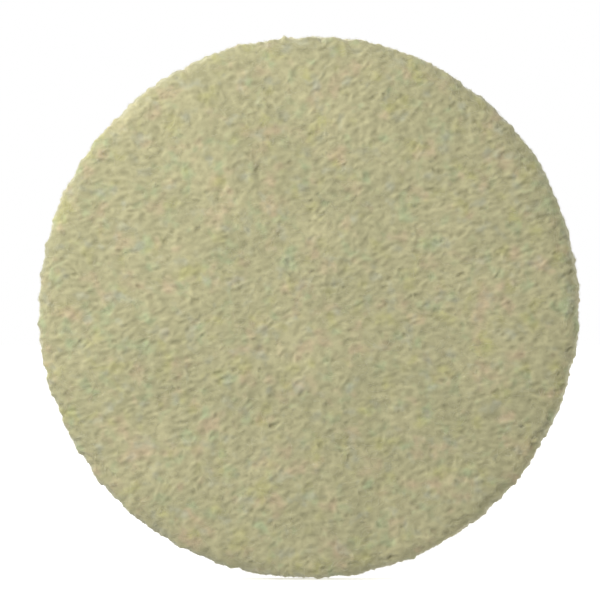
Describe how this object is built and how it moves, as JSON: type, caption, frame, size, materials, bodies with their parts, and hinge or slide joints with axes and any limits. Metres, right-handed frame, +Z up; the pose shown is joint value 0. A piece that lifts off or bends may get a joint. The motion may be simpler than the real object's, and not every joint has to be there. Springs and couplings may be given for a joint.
{
  "type": "felt polishing wheel",
  "caption": "Round pressed-felt polishing disc with a softly rounded working rim and an adhesive back under a split peel-off liner, for facing a flat lapidary plate.",
  "frame": {"origin": "centre of the adhesive face that goes on the machine's plate, on the wheel's spin axis", "axes": "+Y along the spin axis, from the felt working face to the adhesive back; +Z up with the wheel upright; +X to the right when facing the felt"},
  "size_m": [0.15, 0.0105, 0.15],
  "materials": {
    "felt": "matte",
    "adhesive": "gloss",
    "carrier_film": "gloss",
    "liner_paper": "satin"
  },
  "bodies": {
    "felt_and_tape": {"felt_disc": "felt", "felt_side_adhesive": "adhesive", "tape_carrier_film": "carrier_film", "plate_side_adhesive": "adhesive"},
    "liner_left": {"release_liner_left": "liner_paper"},
    "liner_right": {"release_liner_right": "liner_paper"}
  },
  "joints": [
    {"name": "liner_left_off", "type": "slide", "parent": "felt_and_tape", "child": "liner_left", "axis": [0, 1, 0], "range_m": [0, 0.06]},
    {"name": "liner_right_off", "type": "slide", "parent": "felt_and_tape", "child": "liner_right", "axis": [0, 1, 0], "range_m": [0, 0.06]}
  ]
}
